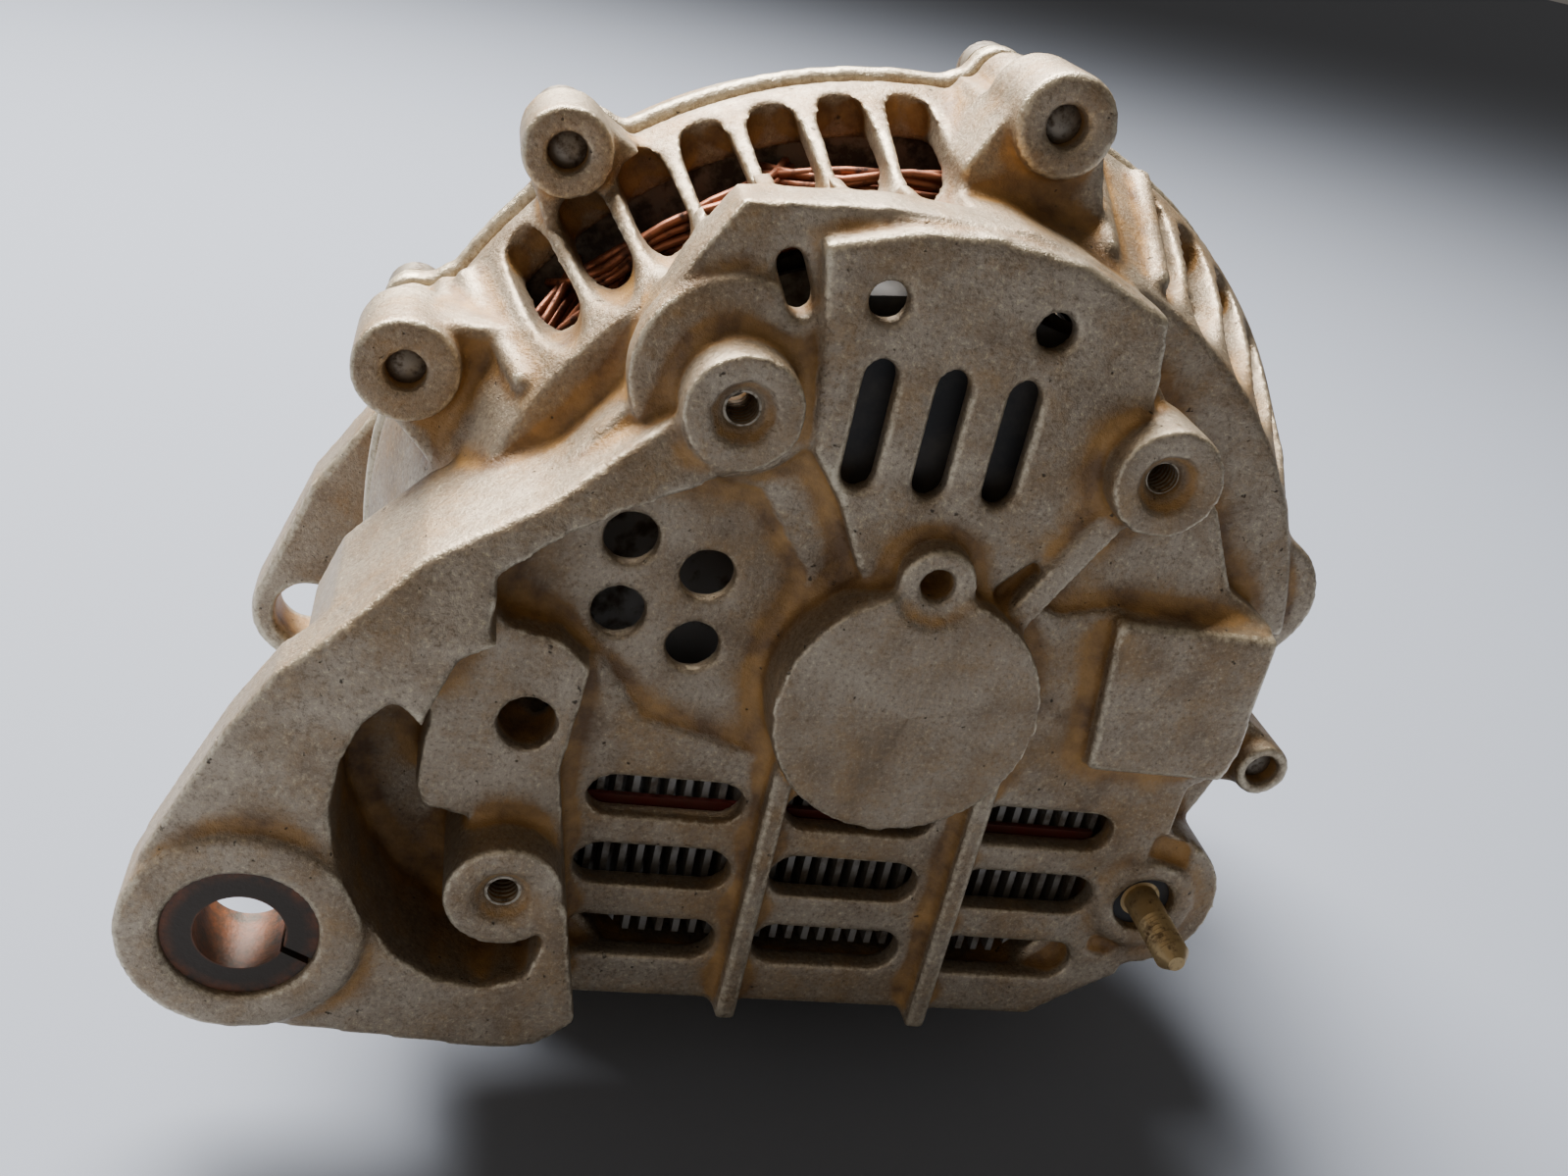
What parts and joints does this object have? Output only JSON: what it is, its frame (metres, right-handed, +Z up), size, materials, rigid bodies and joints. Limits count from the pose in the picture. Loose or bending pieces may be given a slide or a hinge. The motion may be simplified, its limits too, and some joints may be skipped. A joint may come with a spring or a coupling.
{
  "type": "car alternator",
  "caption": "Belt-driven car alternator: slotted die-cast brackets with a pivot foot, claw-pole rotor on ball bearings, stator, brushes, regulator, rectifier and ribbed pulley.",
  "frame": {"origin": "centre of the closed flat face of the rear bearing boss, on the shaft axis", "axes": "+Y along the shaft from the rear to the pulley, +Z up, +X towards the B+ terminal side"},
  "size_m": [0.171, 0.145, 0.1418],
  "materials": {
    "cast_aluminium": "as die-cast, silver painted",
    "lamination_steel": "stacked laminations",
    "enamelled_copper": "varnished wire",
    "zinc_steel": "zinc plated",
    "ground_steel": "ground",
    "black_resin": "moulded",
    "copper": "bare",
    "forged_steel": "forged",
    "nylon": "moulded",
    "stamped_steel": "stamped",
    "pulley_steel": "black painted",
    "bearing_steel": "polished",
    "carbon_graphite": "pressed carbon",
    "spring_steel": "drawn wire",
    "sheet_aluminium": "stamped",
    "red_resin": "moulded",
    "brassed_steel": "dulled plating",
    "bush_steel": "rolled, rusted"
  },
  "bodies": {
    "housing": {"rear_bracket": "cast_aluminium", "front_bracket": "cast_aluminium", "stator_core": "lamination_steel", "stator_coil_rear": "enamelled_copper", "stator_coil_front": "enamelled_copper", "through_bolts": "zinc_steel", "rear_bearing_outer_race": "bearing_steel", "front_bearing_outer_race": "bearing_steel", "brush_spring_a": "spring_steel", "brush_spring_b": "spring_steel", "brush_holder": "black_resin", "voltage_regulator": "black_resin", "positive_heat_sink": "sheet_aluminium", "negative_heat_sink": "sheet_aluminium", "terminal_board": "red_resin", "insulating_strip": "red_resin", "rectifier_diodes": "zinc_steel", "b_terminal_stud": "brassed_steel", "b_terminal_insulator": "black_resin", "b_terminal_strap": "copper", "connector_housing": "black_resin", "connector_pins": "copper", "bearing_retainer": "stamped_steel", "retainer_screws": "zinc_steel"},
    "rotor": {"rotor_shaft": "ground_steel", "slip_ring_sleeve": "black_resin", "slip_ring_rear": "copper", "slip_ring_front": "copper", "claw_pole_rear": "forged_steel", "claw_pole_front": "forged_steel", "field_bobbin": "nylon", "field_coil": "enamelled_copper", "rear_fan": "stamped_steel", "front_fan": "stamped_steel", "pulley_spacer": "ground_steel", "pulley": "pulley_steel", "pulley_washer": "zinc_steel", "pulley_nut": "zinc_steel", "rear_bearing_inner_race": "bearing_steel", "front_bearing_inner_race": "bearing_steel"},
    "rear_cage": {"rear_bearing_balls": "bearing_steel", "rear_bearing_cage": "nylon"},
    "front_cage": {"front_bearing_balls": "bearing_steel", "front_bearing_cage": "nylon"},
    "rear_brush": {"brush_a": "carbon_graphite"},
    "front_brush": {"brush_b": "carbon_graphite"},
    "bush": {"pivot_bush": "bush_steel"}
  },
  "joints": [
    {"name": "rotor_spin", "type": "hinge", "parent": "housing", "child": "rotor", "pos_m": [0, 0.057, 0], "axis": [0, 1, 0], "continuous": true},
    {"name": "rear_cage_spin", "type": "hinge", "parent": "housing", "child": "rear_cage", "pos_m": [0, 0.0116, 0], "axis": [0, 1, 0], "continuous": true},
    {"name": "front_cage_spin", "type": "hinge", "parent": "housing", "child": "front_cage", "pos_m": [0, 0.091, 0], "axis": [0, 1, 0], "continuous": true},
    {"name": "rear_brush_slide", "type": "slide", "parent": "housing", "child": "rear_brush", "axis": [0, 0, 1], "range_m": [0, 0.006], "stiffness_N_per_m": 120, "springref_m": -0.012, "deforming": ["brush_spring_a"]},
    {"name": "front_brush_slide", "type": "slide", "parent": "housing", "child": "front_brush", "axis": [0, 0, 1], "range_m": [0, 0.006], "stiffness_N_per_m": 120, "springref_m": -0.012, "deforming": ["brush_spring_b"]},
    {"name": "pivot_bush_slide", "type": "slide", "parent": "housing", "child": "bush", "axis": [0, 1, 0], "range_m": [-0.001, 0.004]}
  ],
  "couplings": [
    {"joint": "rear_cage_spin", "follows": "rotor_spin", "ratio": 0.4038},
    {"joint": "front_cage_spin", "follows": "rotor_spin", "ratio": 0.375}
  ]
}
